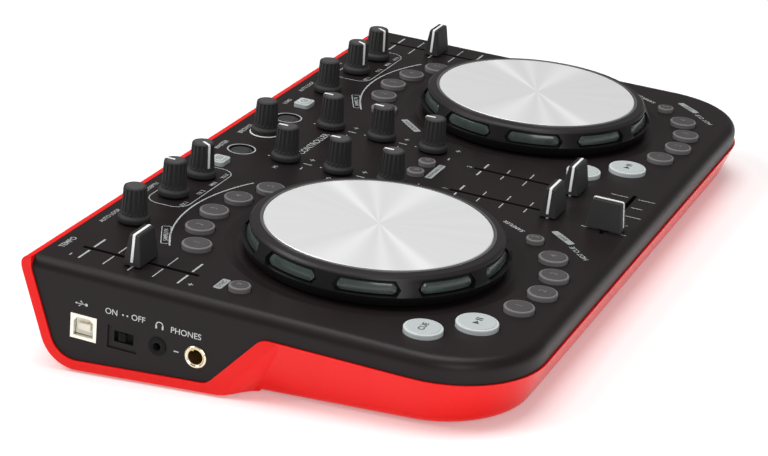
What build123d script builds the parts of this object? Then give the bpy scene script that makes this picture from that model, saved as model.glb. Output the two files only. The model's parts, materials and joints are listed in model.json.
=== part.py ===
from build123d import *
import math
import os

# Two-deck disc jockey controller: a wedge-shaped case with a red lower tub and a black upper case,
# two jog wheels, rotary knobs, faders, push buttons, a power switch and its sockets.
#
# Everything is drawn in the deck frame: the origin is on the top face midway between the two
# jog wheels, X runs to the right, Y to the back and Z out of the deck. The last step tilts the
# deck and sets the whole controller down on its feet. Sizes are in millimetres.

# ---- driving dimensions: case ----
TILT = 5.4                # the deck rises towards the back by this angle
DECK_RISE = 37.2          # height of the deck above the table at the jog wheels
HALF_WIDTH = 185.3        # black upper case, half of its width
FRONT_Y = -91.0
BACK_Y = 116.0            # back edge of the black deck
TUB_BACK_Y = 120.5        # back edge of the red tub
CORNER_R = 41.0           # front corners, seen from above
TUB_BACK_EDGE_R = 3.4     # rounding of the tub along its back
TOP_EDGE_R = 5.0
BAND_Z = -10.1            # lower edge of the black band along the front half
WALL = 2.6
LIP = 0.8                 # the tub stands this far outside the black case
BACK_LEAN = 19.5          # the back wall leans forward on its way down
LEAN_START_Z = -5.0
BACK_BEND_R = 8.0         # side outline: where the back wall starts to lean
BACK_FOOT_R = 12.0        # and where it meets the underside
TUB_FOOT_R = 16.0
STEP_R = 7.0              # the two bends of the step
HULL_TAPER = 20.0         # the front hull leans inward on its way down
PANEL_LIFT = 5.2          # height of the side panel's lower edge over the table
STEP_TOP_Y = 12.5         # the panel's lower edge steps down between these two
STEP_LOW_Y = 35.0
RIM_WIDTH = 6.0           # full-width rim of the tub in front of that step
BLEND_LENGTH = 14.0       # and the length over which the rim blends into the hull
BLEND_DEPTH = 10.0
BLEND_STEPS = 5
HULL_FOOT_R = 4.0         # rounding along the hull's lower edge
HULL_BACK_Y = 60.0        # the hull runs on inside the back half as far as this
HULL_DEPTH = 30.0
FOOT_H = 1.2
FOOT_R = 7.5
FOOT_SINK = 0.8
FEET = ((-148.0, -58.0), (148.0, -58.0), (-160.0, 82.0), (160.0, 82.0))
BOSSES = ((-95.0, -66.0), (95.0, -66.0), (-60.0, 95.0), (60.0, 95.0), (-50.0, 12.0), (50.0, 12.0))
BOSS_R = 4.0
SCREW_R = 1.3
DISH_R = 64.0             # shallow dish round each jog wheel
DISH_FLAT_R = 59.0
DISH_DEPTH = 1.0

# ---- driving dimensions: jog wheels ----
JOG_X = 101.3
JOG_R = 56.9              # widest radius of the jog wheel
JOG_RIM_R = 52.6
JOG_LOW_Z = 0.4
PLATTER_R = 48.3
PLATTER_T = 1.4
PLATTER_TOP = 13.0
WINDOWS = 10
WINDOW_FLOOR_R = 52.4
WINDOW_OUTLINE = (        # one light window seen from outside, as (across, z)
    (-11.4, 10.7),
    (11.4, 10.7),
    (13.9, 7.4),
    (12.3, 4.6),
    (-12.3, 4.6),
    (-13.9, 7.4),
)
SKIRT_R = 50.2            # inside of the jog wheel's skirt
WEB_LOW = 9.2
HUB_R = 9.0
HUB_LOW = 1.2
SPINDLE_R = 5.0
SPINDLE_TOP = 9.6
COLLAR_R = 8.5
COLLAR_TOP = 0.6
RUNNING_GAP = 0.05        # radial clearance of a shaft in its bearing

# ---- driving dimensions: knobs ----
KNOB_TOP = 16.5
KNOB_SKIRT_R = 6.9
SHAFT_R = 3.0
SHAFT_HOLE_R = 3.6
SHAFT_END = -12.0
POT_SIZE = 11.0
POT_TOP = -6.5
BACK_ROW_Y = 99.4
LOOP_X = -28.7            # back row, counted from the middle of its deck
EFFECT_ONE_X = 7.7
EFFECT_TWO_X = 34.4
EQ_X = 25.7
EQ_TOP_Y = 76.8
EQ_PITCH = 26.2
LEVEL_R = 5.0
LEVEL_HOLE_R = 5.5

# ---- driving dimensions: faders ----
CAP_LENGTH = 16.4         # across the travel
CAP_WIDTH = 8.0           # along the travel
CAP_TOP = 13.7
CAP_LOW = 0.8
LEVER_LENGTH = 4.0
LEVER_WIDTH = 1.2
LEVER_END = -10.0
SLOT_WIDTH = 2.0
SLOT_SPARE = 4.0          # slot beyond the travel at each end
FADER_TRAVEL = 45.0
FADER_BODY_WIDTH = 9.0
TEMPO_X = 165.1
TEMPO_Y = 77.3
CHANNEL_X = 16.0
CHANNEL_LOW_Y = -49.4
CROSS_Y = -75.3
CROSS_REST_X = -19.7

# ---- driving dimensions: buttons ----
PAD_R = 6.4
PAD_ORBIT = 75.2          # the pads stand on circles round the jog wheels
PAD_PITCH = 14.8
UPPER_PAD_MIDDLE = 90.9
HOT_CUE_MIDDLE = -85.3
TRANSPORT_ORBIT = 77.6
SYNC_X = 167.7
SYNC_Y = 31.4
PHONES_CUE_X = 7.2
PHONES_CUE_Y = 20.0
LOAD_X = 46.8
LOAD_Y = 100.5
BUTTON_GAP = 0.35
BUTTON_TRAVEL = 0.8
BUTTON_TOP = 2.0
FLANGE_W = 0.9
PLUNGER_R = 1.5
PLUNGER_END = -8.4
BOARD_TOP = -13.0
BOARD_T = 1.6
KEY_SWITCH_TOP = PLUNGER_END - BUTTON_TRAVEL - 0.4
LOW_BOARD_TOP = -31.6

# ---- driving dimensions: sockets ----
SOCKET_Z = -25.2
USB_Y = 91.4
USB_WIDTH = 12.0
USB_HEIGHT = 10.9
USB_LENGTH = 16.0
USB_DEPTH = 10.0
USB_MOUTH = (8.9, 8.2)
USB_MOUTH_CHAMFER = 1.7
USB_TONGUE = (5.7, 3.2)
SWITCH_Y = 73.2
SWITCH_TRAVEL = 2.0
SWITCH_SLOT = 8.8
MINI_JACK_Y = 57.8
MINI_RING_R = 4.0
MINI_BORE_R = 1.8
MINI_DEPTH = 11.0
MINI_BODY = 9.0           # square housing behind the wall
JACK_Y = 40.5
JACK_RING_R = 4.8
JACK_BORE_R = 3.25
JACK_DEPTH = 24.0
JACK_BODY = 12.4
PHONO_X = 9.0
PHONO_Z = -21.6
PHONO_R = 4.15
PHONO_OUT = 10.0
PHONO_PIN = 7.0            # length of its round contact
PHONO_BORE_R = 1.6
PHONO_LENGTH = 24.0
PHONO_BASE = (12.0, 14.0, 10.0)
PHONO_BASE_IN = 20.0       # from the tip of a phono socket to its square base

SIDES = (("left", -1), ("right", 1))
slope = math.tan(math.radians(TILT))
lean = math.tan(math.radians(BACK_LEAN))
BASE_UP = (Align.CENTER, Align.CENTER, Align.MIN)


def above_table(lift, y):
    """Deck-frame height, at this y, of the level plane that lies `lift` above the table."""
    return (lift - DECK_RISE) / math.cos(math.radians(TILT)) - slope * y


def back_foot(back, lift):
    """Where the leaning back wall that starts at `back` meets the level plane at `lift`."""
    y = (back + lean * (above_table(lift, 0) - LEAN_START_Z)) / (1 + lean * slope)
    return y, above_table(lift, y)


def post(radius, low, high, x=0.0, y=0.0):
    return Pos(x, y, low) * Cylinder(radius, high - low, align=BASE_UP)


def block(length, width, low, high, x=0.0, y=0.0):
    return Pos(x, y, low) * Box(length, width, high - low, align=BASE_UP)


def side_face(corners, x=0.0):
    """Side outline from (y, z, corner radius) triples, standing at this x."""
    radii = [radius for _, _, radius in corners]
    line = FilletPolyline(*[(y, z) for y, z, _ in corners], radius=radii, close=True)
    return Pos(x, 0, 0) * (Plane.YZ * make_face(line))


def turned(profile):
    """A solid of revolution about Z from (radius, z) points."""
    return revolve(Plane.XZ * make_face(Polyline(*profile, close=True)), Axis.Z)


def arc_place(side, orbit, angle):
    """A place on a circle round one jog wheel, by its angle from the right-hand side."""
    turn = math.radians(angle)
    return side * JOG_X + orbit * math.cos(turn), orbit * math.sin(turn)


# ---- layout of the controls ----


def knob_places():
    """Name, x and y of every knob that stands on the deck."""
    places = [("browse_encoder", 0.0, BACK_ROW_Y)]
    for word, side in SIDES:
        for row, band in enumerate(("high", "mid", "low")):
            places.append((f"eq_{band}_{word}", side * EQ_X, EQ_TOP_Y - row * EQ_PITCH))
        for name, x in (("loop_encoder", LOOP_X), ("effect_one", EFFECT_ONE_X), ("effect_two", EFFECT_TWO_X)):
            places.append((f"{name}_{word}", side * JOG_X + x, BACK_ROW_Y))
    return places


def level_places():
    return [("level_master", -EQ_X, BACK_ROW_Y), ("level_phones", EQ_X, BACK_ROW_Y)]


def button_places():
    """Name, x, y and radius of every round button."""
    places = []
    for word, side in SIDES:
        for step in range(5):
            x, y = arc_place(side, PAD_ORBIT, UPPER_PAD_MIDDLE + (2 - step) * PAD_PITCH)
            places.append((f"effect_pad_{step + 1}_{word}", x, y, PAD_R))
        for step in range(4):
            x, y = arc_place(side, PAD_ORBIT, HOT_CUE_MIDDLE + (step - 1.5) * PAD_PITCH)
            places.append((f"hot_cue_{step + 1}_{word}", x, y, PAD_R))
        for name, orbit, angle, radius in (
            ("cue_button", TRANSPORT_ORBIT, -143.6, 8.0),
            ("play_button", TRANSPORT_ORBIT, -126.4, 8.7),
            ("sampler_button", 72.8, -47.5, 4.0),
        ):
            x, y = arc_place(side, orbit, angle)
            places.append((f"{name}_{word}", x, y, radius))
        places.append((f"sync_button_{word}", side * SYNC_X, SYNC_Y, 4.6))
        places.append((f"phones_cue_{word}", side * PHONES_CUE_X, PHONES_CUE_Y, 4.1))
    return places


def load_places():
    return [(f"load_button_{word}", side * LOAD_X, LOAD_Y) for word, side in SIDES]


def fader_places():
    """Name, cap x and y, middle of the travel, and whether the travel is along Y."""
    channel_middle = CHANNEL_LOW_Y + FADER_TRAVEL / 2
    places = [("crossfader_cap", CROSS_REST_X, CROSS_Y, 0.0, CROSS_Y, False)]
    for word, side in SIDES:
        x = side * TEMPO_X
        places.append((f"tempo_cap_{word}", x, TEMPO_Y, x, TEMPO_Y, True))
        x = side * CHANNEL_X
        places.append((f"channel_cap_{word}", x, CHANNEL_LOW_Y, x, channel_middle, True))
    return places


# ---- case ----


def plan(grow, back):
    """The case seen from above, with its two front corners well rounded."""
    half = HALF_WIDTH + grow
    front = FRONT_Y - grow
    outline = Pos(0, (front + back) / 2) * Rectangle(2 * half, back - front)
    front_corners = outline.vertices().sort_by(Axis.Y)[:2]
    return fillet(front_corners, CORNER_R + grow)


def black_zone():
    """All that belongs to the black case: its lower edge steps down to the socket panel."""
    foot_y, foot_z = back_foot(BACK_Y, PANEL_LIFT)
    ahead, top = FRONT_Y - 30, 30.0
    corners = [
        (ahead, top, 0),
        (BACK_Y, top, 0),
        (BACK_Y, LEAN_START_Z, BACK_BEND_R),
        (foot_y, foot_z, BACK_FOOT_R),
        (STEP_LOW_Y, above_table(PANEL_LIFT, STEP_LOW_Y), STEP_R),
        (STEP_TOP_Y, BAND_Z, STEP_R),
        (ahead, BAND_Z, 0),
    ]
    return extrude(side_face(corners), 250, both=True)


def black_hollow():
    """The room inside the black case, open underneath."""
    back = BACK_Y - WALL
    depth = 60.0
    corners = [
        (FRONT_Y - 30, -WALL, 0),
        (back, -WALL, 0),
        (back, LEAN_START_Z, 0),
        (back - lean * (depth + LEAN_START_Z), -depth, 0),
        (FRONT_Y - 30, -depth, 0),
    ]
    room = extrude(Pos(0, 0, -depth) * plan(-WALL, BACK_Y), depth)
    return room & extrude(side_face(corners), 250, both=True)


def deck_cuts():
    """Every opening in the deck plate."""
    low, high = -20.0, 5.0
    cuts = [post(SHAFT_HOLE_R, low, high, x, y) for _, x, y in knob_places()]
    cuts += [post(LEVEL_HOLE_R, low, high, x, y) for _, x, y in level_places()]
    cuts += [post(radius + BUTTON_GAP, low, high, x, y) for _, x, y, radius in button_places()]
    cuts += [
        extrude(Pos(x, y, low) * load_outline(BUTTON_GAP), high - low) for _, x, y in load_places()
    ]
    slot = FADER_TRAVEL + 2 * SLOT_SPARE
    for _, _, _, x, y, along_y in fader_places():
        size = (SLOT_WIDTH, slot) if along_y else (slot, SLOT_WIDTH)
        cuts.append(block(*size, low, high, x, y))
    return cuts


def side_cuts():
    """Openings for the sockets and the switch in the left wall."""
    outside = -HALF_WIDTH
    turn = Rot(0, 90, 0)
    cuts = [
        Pos(outside, USB_Y, SOCKET_Z - 0.4) * Box(8, USB_WIDTH + 0.4, USB_HEIGHT + 0.4),
        Pos(outside, SWITCH_Y, SOCKET_Z - 0.6) * Box(8, SWITCH_SLOT, 4.8),
        Pos(outside, SWITCH_Y + 0.4, SOCKET_Z - 1.0) * Box(1.4, 13.3, 10.0),
        Pos(outside, MINI_JACK_Y, SOCKET_Z) * (turn * Cylinder(MINI_RING_R + 0.1, 8)),
        Pos(outside, JACK_Y, SOCKET_Z) * (turn * Cylinder(JACK_RING_R + 0.1, 8)),
    ]
    return cuts


def phono_cuts():
    return [
        Pos(side * PHONO_X, BACK_Y - 6, PHONO_Z) * (Rot(90, 0, 0) * Cylinder(PHONO_R + 0.8, 40))
        for _, side in SIDES
    ]


def make_top_case():
    depth = 60.0
    shell = extrude(Pos(0, 0, -depth) * plan(0, BACK_Y), depth)
    top_edges = shell.edges().filter_by_position(Axis.Z, -0.01, 0.01)
    rounded = [edge for edge in top_edges if edge.center().Y < BACK_Y - 1]
    shell = fillet(rounded, TOP_EDGE_R)
    shell = (shell & black_zone()) - black_hollow()
    low = -DISH_DEPTH
    dish = turned([(0, low), (DISH_FLAT_R, low), (DISH_R, 0), (DISH_R, 3), (0, 3)])
    for _, side in SIDES:
        shell -= Pos(side * JOG_X, 0, 0) * dish
        spindle = post(SPINDLE_R, -WALL, SPINDLE_TOP, side * JOG_X, 0)
        collar = post(COLLAR_R, -WALL, COLLAR_TOP, side * JOG_X, 0)
        shell += spindle + collar
    return shell - deck_cuts() - side_cuts() - phono_cuts()


def tub_solid(grow, lift, back):
    """The tub without its hollow: a deep back half and a hull that leans inward in front."""
    half = HALF_WIDTH + grow
    foot_y, foot_z = back_foot(back, lift)
    step_run = (STEP_LOW_Y - STEP_TOP_Y) / (above_table(PANEL_LIFT, STEP_LOW_Y) - BAND_Z)

    def back_half(ahead, x):
        start = STEP_TOP_Y - ahead - grow
        end = start + step_run * (above_table(lift, STEP_TOP_Y) - BAND_Z)
        corners = [
            (start, 0, 0),
            (back, 0, TUB_BACK_EDGE_R),
            (back, LEAN_START_Z, BACK_BEND_R),
            (foot_y, foot_z, TUB_FOOT_R),
            (end, above_table(lift, end), 0),
            (start, BAND_Z, 0),
        ]
        return side_face(corners, x)

    shares = [step / BLEND_STEPS for step in range(BLEND_STEPS + 1)]
    solid = extrude(back_half(RIM_WIDTH + BLEND_LENGTH, 0), half - BLEND_DEPTH, both=True)
    for side in (-1, 1):
        ribs = []
        for share in shares:
            sunk = BLEND_DEPTH * (1 - math.cos(math.pi * share)) / 2
            ribs.append(back_half(RIM_WIDTH + BLEND_LENGTH * share, side * (half - sunk)))
        solid += loft(ribs, ruled=True)
    hull = Pos(0, 0, BAND_Z) * plan(grow, HULL_BACK_Y)
    hull = extrude(hull, HULL_DEPTH, dir=(0, 0, -1), taper=HULL_TAPER)
    level = Plane((0, 0, above_table(lift, 0)), x_dir=(1, 0, 0), z_dir=level_up())
    hull -= level * block(500, 400, -60, 0)
    foot = hull.faces().sort_by(Axis((0, 0, 0), level_up()))[0]
    return solid + fillet(foot.edges().sort_by(Axis.Y)[:-1], HULL_FOOT_R + grow - LIP)


def level_up():
    """The true vertical, seen from the deck frame."""
    return (0, math.sin(math.radians(TILT)), math.cos(math.radians(TILT)))


def make_bottom_tub():
    shell = tub_solid(LIP, FOOT_H, TUB_BACK_Y)
    hollow = tub_solid(LIP - WALL, FOOT_H + WALL, BACK_Y)
    bosses = [post(BOSS_R, -60, BOARD_TOP - BOARD_T, x, y) & shell for x, y in BOSSES]
    shell = shell - hollow - black_zone()
    shell += bosses
    screws = [post(SCREW_R, -60, 0, x, y) for x, y in BOSSES]
    level = Plane((0, 0, above_table(0, 0)), x_dir=(1, 0, 0), z_dir=level_up())
    pockets = [level * post(FOOT_R + 0.1, 0, FOOT_H + FOOT_SINK, x, y) for x, y in FEET]
    return shell - screws - pockets - phono_cuts()


def make_rubber_feet():
    level = Plane((0, 0, above_table(0, 0)), x_dir=(1, 0, 0), z_dir=level_up())
    foot = post(FOOT_R, 0, FOOT_H + FOOT_SINK)
    foot = chamfer(foot.edges().sort_by(Axis.Z)[0], 0.4)
    return [level * (Pos(x, y, 0) * foot) for x, y in FEET]


# ---- inside ----


def make_circuit_board():
    board = Pos(0, 12, BOARD_TOP - BOARD_T) * RectangleRounded(344, 188, 20)
    solids = [extrude(board, BOARD_T)]
    solids.append(block(56, 72, LOW_BOARD_TOP - BOARD_T, LOW_BOARD_TOP, -150, 66))
    pot = block(POT_SIZE, POT_SIZE, BOARD_TOP, POT_TOP) - post(SHAFT_R + RUNNING_GAP, SHAFT_END - 0.4, 0)
    solids += [Pos(x, y, 0) * pot for _, x, y in knob_places() + level_places()]
    switch = block(6, 6, BOARD_TOP, KEY_SWITCH_TOP - 0.4) + post(1.8, BOARD_TOP, KEY_SWITCH_TOP)
    solids += [Pos(x, y, 0) * switch for _, x, y, _ in button_places()]
    solids += [Pos(x, y, 0) * switch for _, x, y in load_places()]
    length = FADER_TRAVEL + 2 * SLOT_SPARE
    fader = block(FADER_BODY_WIDTH, length + 7, BOARD_TOP, POT_TOP)
    fader -= block(LEVER_WIDTH + 1.0, length, LEVER_END - 1.0, 0)
    for _, _, _, x, y, along_y in fader_places():
        solids.append(Pos(x, y, 0) * (fader if along_y else Rot(0, 0, 90) * fader))
    chip = block(14, 14, BOARD_TOP, BOARD_TOP + 1.4)
    solids += [Pos(x, -24, 0) * chip for x in (-45, 45)]
    solids += [
        block(12, 18, LOW_BOARD_TOP, LOW_BOARD_TOP + 9, -131, 90),
        block(8, 50, LOW_BOARD_TOP, BOARD_TOP - BOARD_T, -128, 55),
    ]
    return solids


def tube_socket(radius, bore, depth, body):
    """A jack socket along X: a ring through the wall and a square body behind it."""
    front = -HALF_WIDTH - 0.4
    ring_length, end_wall = 5.0, 3.0
    whole = depth + end_wall - ring_length
    ring = Rot(0, 90, 0) * Cylinder(radius, ring_length, align=BASE_UP)
    back = Pos(ring_length, 0, 0) * Box(whole, body, body, align=(Align.MIN, Align.CENTER, Align.CENTER))
    hole = Rot(0, 90, 0) * Cylinder(bore, depth, align=BASE_UP)
    return Pos(front, 0, 0) * (ring + back - hole)


def make_socket_set():
    middle = (Align.MIN, Align.CENTER, Align.CENTER)
    usb = Box(USB_LENGTH, USB_WIDTH, USB_HEIGHT, align=middle)
    mouth = Plane.YZ * Rectangle(*USB_MOUTH)
    mouth = chamfer(mouth.vertices().sort_by(Axis.Z)[-2:], USB_MOUTH_CHAMFER)
    usb -= extrude(mouth, USB_DEPTH)
    usb += Pos(1.2, 0, 0) * Box(USB_DEPTH, *USB_TONGUE, align=middle)
    usb = Pos(-HALF_WIDTH, USB_Y, SOCKET_Z - 0.4) * usb
    mini = tube_socket(MINI_RING_R, MINI_BORE_R, MINI_DEPTH, MINI_BODY)
    large = tube_socket(JACK_RING_R, JACK_BORE_R, JACK_DEPTH, JACK_BODY)
    mini = Pos(0, MINI_JACK_Y, SOCKET_Z) * mini
    large = Pos(0, JACK_Y, SOCKET_Z) * large
    housing = Pos(-179.2, SWITCH_Y, SOCKET_Z - 0.6) * Box(8, 12, 7, align=middle)
    housing -= Pos(-180, SWITCH_Y, SOCKET_Z - 0.6) * Box(5, 4.4, 2.2, align=middle)
    solids = [usb, mini, large, housing]
    for _, side in SIDES:
        sleeve = post(PHONO_R, 0, PHONO_PIN) + post(PHONO_R + 0.4, PHONO_PIN, PHONO_LENGTH)
        sleeve += Pos(0, 0, PHONO_BASE_IN) * Box(*PHONO_BASE, align=BASE_UP)
        sleeve -= post(PHONO_BORE_R, 0, PHONO_LENGTH)
        tip = BACK_Y + lean * (PHONO_Z - LEAN_START_Z) + TUB_BACK_Y - BACK_Y + PHONO_OUT
        solids.append(Pos(side * PHONO_X, tip, PHONO_Z) * (Rot(90, 0, 0) * sleeve))
    return solids


def make_power_switch():
    middle = (Align.MIN, Align.CENTER, Align.CENTER)
    slider = Pos(-HALF_WIDTH + 0.9, 0, 0) * Box(3, 3.0, 3.6, align=middle)
    slider += Pos(-HALF_WIDTH + WALL + 0.3, 0, 0) * Box(1.4, 12.4, 6.4, align=middle)
    slider += Pos(-HALF_WIDTH + WALL + 1.5, 0, 0) * Box(4.6, 1.6, 1.4, align=middle)
    return Pos(0, SWITCH_Y + SWITCH_TRAVEL / 2, SOCKET_Z - 0.6) * slider


# ---- controls ----


def make_jog_wheel():
    web_top = PLATTER_TOP - PLATTER_T
    rim = [
        (SKIRT_R, JOG_LOW_Z),
        (55.2, JOG_LOW_Z),
        (JOG_R - 0.3, 3.2),
        (JOG_R, 4.6),
        (JOG_R - 0.4, 5.6),
        (53.6, 11.4),
        (JOG_RIM_R, 12.3),
        (PLATTER_R + 0.5, 12.7),
        (PLATTER_R + 0.3, web_top),
        (0, web_top),
        (0, WEB_LOW),
        (SKIRT_R, WEB_LOW),
    ]
    wheel = turned(rim) + post(HUB_R, HUB_LOW, WEB_LOW + 0.3)
    wheel -= post(SPINDLE_R + RUNNING_GAP, 0, SPINDLE_TOP + 0.8)
    outline = make_face(Polyline(*WINDOW_OUTLINE, close=True))
    window = Pos(0, -WINDOW_FLOOR_R, 0) * extrude(Plane.XZ * outline, JOG_R - SKIRT_R)
    pitch = 360 / WINDOWS
    return wheel - [Rot(0, 0, pitch * step) * window for step in range(WINDOWS)]


def make_platter():
    disc = post(PLATTER_R, PLATTER_TOP - PLATTER_T, PLATTER_TOP)
    return chamfer(disc.edges().sort_by(Axis.Z)[-1], 0.4)


def make_knob():
    skirt = KNOB_SKIRT_R
    body = [
        (0, CAP_LOW),
        (skirt, CAP_LOW),
        (skirt, 2.8),
        (skirt - 0.9, 3.8),
        (5.7, 5.0),
        (4.95, KNOB_TOP - 0.5),
        (4.45, KNOB_TOP),
        (0, KNOB_TOP),
    ]
    return turned(body) + post(SHAFT_R, SHAFT_END, CAP_LOW)


def make_level_knob():
    return post(LEVEL_R, POT_TOP + 0.4, -0.6) + post(SHAFT_R, SHAFT_END, POT_TOP + 0.4)


def make_cap():
    """A fader cap whose travel is along Y, on its lever."""
    foot = Pos(0, 0, CAP_LOW) * RectangleRounded(CAP_LENGTH, CAP_WIDTH, 0.8)
    crown = Pos(0, 0, CAP_TOP) * RectangleRounded(CAP_LENGTH - 2.8, CAP_WIDTH - 3.4, 0.8)
    cap = loft([foot, crown])
    cap = fillet(cap.edges().filter_by_position(Axis.Z, CAP_TOP - 0.01, CAP_TOP + 0.01), 0.7)
    lever_height = CAP_LOW - LEVER_END
    lever = Box(LEVER_WIDTH, LEVER_LENGTH, lever_height, align=(Align.CENTER, Align.CENTER, Align.MAX))
    return cap + Pos(0, 0, CAP_LOW) * lever


def make_button(radius, top):
    crown = post(radius, -3.2, top)
    crown = fillet(crown.edges().sort_by(Axis.Z)[-1], 0.6)
    flange = post(radius + FLANGE_W, -4.0, -3.0)
    return crown + flange + post(PLUNGER_R, PLUNGER_END, -4.0)


def load_outline(grow=0.0):
    return RectangleRounded(9.6 + 2 * grow, 7.8 + 2 * grow, 1.6 + grow)


def make_load_button():
    crown = extrude(Pos(0, 0, -3.2) * load_outline(), 3.2 + BUTTON_TOP)
    crown = fillet(crown.edges().filter_by_position(Axis.Z, BUTTON_TOP - 0.01, BUTTON_TOP + 0.01), 0.5)
    flange = extrude(Pos(0, 0, -4.0) * load_outline(FLANGE_W), 1.0)
    return crown + flange + post(PLUNGER_R, PLUNGER_END, -4.0)


def build_nodes():
    """Every node's shape in the deck frame, by its name."""
    nodes = {
        "top_case": make_top_case(),
        "bottom_tub": make_bottom_tub(),
        "rubber_feet": make_rubber_feet(),
        "circuit_board": make_circuit_board(),
        "socket_set": make_socket_set(),
        "power_switch_knob": make_power_switch(),
    }
    wheel, platter = make_jog_wheel(), make_platter()
    for word, side in SIDES:
        nodes[f"jog_wheel_{word}"] = Pos(side * JOG_X, 0, 0) * wheel
        nodes[f"jog_platter_{word}"] = Pos(side * JOG_X, 0, 0) * platter
    knob, level_knob, cap, load = make_knob(), make_level_knob(), make_cap(), make_load_button()
    for name, x, y in knob_places():
        nodes[name] = Pos(x, y, 0) * knob
    for name, x, y in level_places():
        nodes[name] = Pos(x, y, 0) * level_knob
    for name, x, y, _, _, along_y in fader_places():
        nodes[name] = Pos(x, y, 0) * (cap if along_y else Rot(0, 0, 90) * cap)
    for name, x, y, radius in button_places():
        nodes[name] = Pos(x, y, 0) * make_button(radius, BUTTON_TOP)
    for name, x, y in load_places():
        nodes[name] = Pos(x, y, 0) * load
    return nodes


def set_down(nodes):
    """Tilts the deck and moves the origin to the middle of the controller's footprint."""
    tilted = {}
    for name, shape in nodes.items():
        solids = shape if isinstance(shape, list) else [shape]
        whole = Compound(children=[solid for part in solids for solid in part.solids()])
        tilted[name] = Rot(TILT, 0, 0) * whole
    boxes = [shape.bounding_box() for shape in tilted.values()]
    low = [min(getattr(box.min, axis) for box in boxes) for axis in "XYZ"]
    high = [max(getattr(box.max, axis) for box in boxes) for axis in "XYZ"]
    shift = (-(low[0] + high[0]) / 2, -(low[1] + high[1]) / 2, -low[2])
    return {name: Pos(*shift) * shape for name, shape in tilted.items()}, shift


nodes, shift = set_down(build_nodes())
os.makedirs("parts", exist_ok=True)
for name, shape in nodes.items():
    export_step(shape, f"parts/{name}.step")
print(len(nodes), "nodes; the deck frame's origin stands at", [round(value, 4) for value in shift])
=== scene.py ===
import json
import math

import bpy
from bpy.props import FloatProperty, FloatVectorProperty, IntProperty, PointerProperty
from mathutils import Matrix, Vector


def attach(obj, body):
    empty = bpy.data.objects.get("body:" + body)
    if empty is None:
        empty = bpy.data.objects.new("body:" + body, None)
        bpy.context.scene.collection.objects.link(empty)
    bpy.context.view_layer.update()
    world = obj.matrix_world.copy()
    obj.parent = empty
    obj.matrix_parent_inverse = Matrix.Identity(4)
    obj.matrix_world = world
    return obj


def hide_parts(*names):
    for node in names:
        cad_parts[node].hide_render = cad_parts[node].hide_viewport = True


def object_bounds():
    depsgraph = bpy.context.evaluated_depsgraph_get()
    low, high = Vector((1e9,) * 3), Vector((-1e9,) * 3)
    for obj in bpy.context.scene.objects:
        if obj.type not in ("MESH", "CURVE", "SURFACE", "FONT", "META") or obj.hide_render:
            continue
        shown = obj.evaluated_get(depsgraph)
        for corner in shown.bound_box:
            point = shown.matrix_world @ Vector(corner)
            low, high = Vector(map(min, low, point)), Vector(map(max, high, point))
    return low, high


bl_info = {
    "name": "Two Deck Controller",
    "version": (1, 0, 0),
    "blender": (4, 5, 0),
    "location": "View3D > Sidebar > Controller",
    "description": "Builds the looks of a two-deck disc jockey controller round its packed model",
    "category": "Object",
}

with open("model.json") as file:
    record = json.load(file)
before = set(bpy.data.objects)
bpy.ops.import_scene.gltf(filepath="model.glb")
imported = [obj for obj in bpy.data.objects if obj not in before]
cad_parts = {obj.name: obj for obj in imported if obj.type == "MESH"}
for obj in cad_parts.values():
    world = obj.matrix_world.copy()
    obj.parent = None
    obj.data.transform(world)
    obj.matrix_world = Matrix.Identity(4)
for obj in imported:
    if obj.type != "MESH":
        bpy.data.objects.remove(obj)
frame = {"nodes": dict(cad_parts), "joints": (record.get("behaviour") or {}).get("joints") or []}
CAD_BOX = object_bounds()

# Sizes are in millimetres, in the deck frame: the origin is on the deck midway between the two
# jog wheels, X runs to the right, Y to the back and Z out of the deck.
MM = 0.001
JOINTS = {joint["child"]: joint for joint in frame["joints"]}
JOG_SPOTS = [Vector(JOINTS[f"jog_wheel_{word}"]["pos_m"]) for word in ("left", "right")]
UP = Vector(JOINTS["jog_wheel_left"]["axis"]).normalized()
RIGHT = Vector((1, 0, 0))
BACK = UP.cross(RIGHT)
DECK = Matrix.Translation(sum(JOG_SPOTS, Vector()) / 2) @ Matrix((RIGHT, BACK, UP)).transposed().to_4x4()
JOG_X = (JOG_SPOTS[1] - JOG_SPOTS[0]).length / 2 / MM

CASE = "case"
SIDES = {"left": -1, "right": 1}
WALL_X = -185.3           # outside of the left wall
BACK_ROW_Y = 99.4
EQ_X = 25.7
EQ_ROWS = (76.8, 50.6, 24.4)
TEMPO_X, TEMPO_Y = 165.1, 77.3
CHANNEL_X, CHANNEL_MIDDLE_Y = 16.0, -26.9
CROSS_Y = -75.3
FADER_TICKS = (-22.5, -11.25, 0.0, 11.25, 22.5)
WINDOWS = 10
USB_Y, SWITCH_Y, MINI_Y, JACK_Y = 91.4, 73.2, 57.8, 40.5
SOCKET_Z = -25.2
BACK_Y = 120.5            # outside of the back wall, 5 mm below the deck
BACK_LEAN = 19.5          # degrees that the back wall leans out at the top
JOG_RIM = 49.6            # outer radius of the bright trim round a platter
LIGHT_RADIUS, LIGHT_Z = 53.5, 7.35
LIGHT_SPAN = 22.4         # degrees that one light bar takes up
FLANGE = 0.9              # a button's hidden flange stands out this far
FACE_LIFT = 0.27          # from the top of a button to its printed sign
FLOOR_SIZE = 30000
POINTER_WHITE = (0.86, 0.86, 0.85)
SWITCH_BLACK = (0.014, 0.014, 0.014)
SCREWS = ((-95.0, -66.0), (95.0, -66.0), (-60.0, 95.0), (60.0, 95.0), (-50.0, 12.0), (50.0, 12.0))
PRINT_Z = 0.03            # ink stands this far off the surface


# ---- sizes and colours that a user would change ----


def colour(name, text, value):
    return FloatVectorProperty(
        name=name, description=text, default=value, subtype="COLOR", size=3, min=0.0, max=1.0
    )


def length(name, text, value):
    return FloatProperty(name=name, description=text, default=value * MM, unit="LENGTH", min=0.0)


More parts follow.
